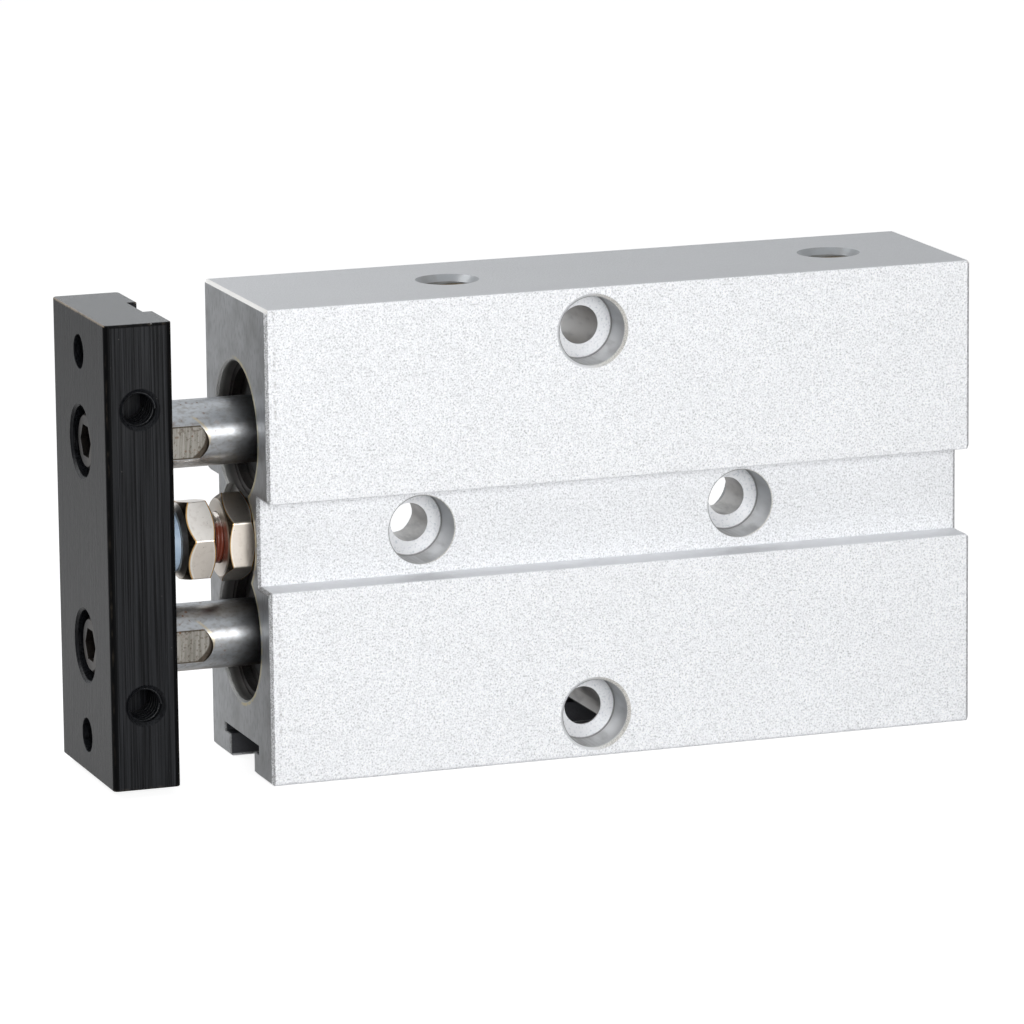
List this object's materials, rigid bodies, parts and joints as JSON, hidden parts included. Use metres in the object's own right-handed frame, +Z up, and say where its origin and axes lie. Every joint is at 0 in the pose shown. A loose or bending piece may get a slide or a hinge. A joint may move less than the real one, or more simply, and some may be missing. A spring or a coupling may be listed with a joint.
{
  "type": "guided pneumatic cylinder",
  "caption": "Compact guided air cylinder: flat aluminium body with parallel rods, black end plate and an adjustable stop bolt between the rods.",
  "frame": {"origin": "bottom centre of the bounding box with the plate drawn in, on the body's mid-plane", "axes": "+Z up through the air ports, rods point along -X, +Y away from the side seen with the grooves"},
  "size_m": [0.0874, 0.019, 0.046],
  "materials": {
    "silver_anodised": "sandblasted and clear anodised, fine sparkle",
    "nickel_steel": "nickel plated, warm",
    "white_urethane": "soft white urethane",
    "black_anodised": "black anodised with fine drawn lines",
    "black_oxide_steel": "black oxide, oiled",
    "rod_steel": "ground and polished, a little tarnished",
    "dark_bearing_alloy": "dark hard anodised",
    "plain_aluminium": "machined",
    "nitrile_rubber": "matte black",
    "urethane_bumper": "matte urethane",
    "spring_steel": "phosphate coated",
    "slide_resin": "filled resin",
    "plated_steel": "zinc plated",
    "magnet": "sintered"
  },
  "bodies": {
    "housing": {"body_block": "silver_anodised", "jam_nut": "nickel_steel", "rod_cover_upper": "dark_bearing_alloy", "rod_cover_lower": "dark_bearing_alloy", "rod_seal_upper": "nitrile_rubber", "rod_seal_lower": "nitrile_rubber", "cover_o_ring_upper": "nitrile_rubber", "cover_o_ring_lower": "nitrile_rubber", "front_snap_ring_upper": "spring_steel", "front_snap_ring_lower": "spring_steel", "rear_cover_upper": "plain_aluminium", "rear_cover_lower": "plain_aluminium", "rear_o_ring_upper": "nitrile_rubber", "rear_o_ring_lower": "nitrile_rubber", "rear_bumper_upper": "urethane_bumper", "rear_bumper_lower": "urethane_bumper", "rear_snap_ring_upper": "spring_steel", "rear_snap_ring_lower": "spring_steel"},
    "slide": {"end_plate": "black_anodised", "plate_screw_upper": "black_oxide_steel", "plate_screw_lower": "black_oxide_steel", "piston_rod_upper": "rod_steel", "piston_rod_lower": "rod_steel", "front_bumper_upper": "urethane_bumper", "front_bumper_lower": "urethane_bumper", "piston_upper": "plain_aluminium", "piston_lower": "plain_aluminium", "piston_seal_upper": "nitrile_rubber", "piston_seal_lower": "nitrile_rubber", "wear_ring_upper": "slide_resin", "wear_ring_lower": "slide_resin", "piston_nut_upper": "plated_steel", "piston_nut_lower": "plated_steel", "spacer_ring": "plain_aluminium", "magnet_ring": "magnet"},
    "stop_carrier": {"stop_bumper": "white_urethane"},
    "stop_screw": {"stop_bolt": "nickel_steel"}
  },
  "joints": [
    {"name": "rod_slide", "type": "slide", "parent": "housing", "child": "slide", "axis": [-1, 0, 0], "range_m": [0, 0.02]},
    {"name": "stop_travel", "type": "slide", "parent": "housing", "child": "stop_carrier", "axis": [1, 0, 0], "range_m": [0, 0.0007]},
    {"name": "stop_turn", "type": "hinge", "parent": "stop_carrier", "child": "stop_screw", "pos_m": [-0.0283, 0, 0.0226], "axis": [1, 0, 0], "range_deg": [0, 316]}
  ],
  "couplings": [
    {"joint": "stop_turn", "follows": "stop_travel", "rad_per_m": 7854}
  ]
}
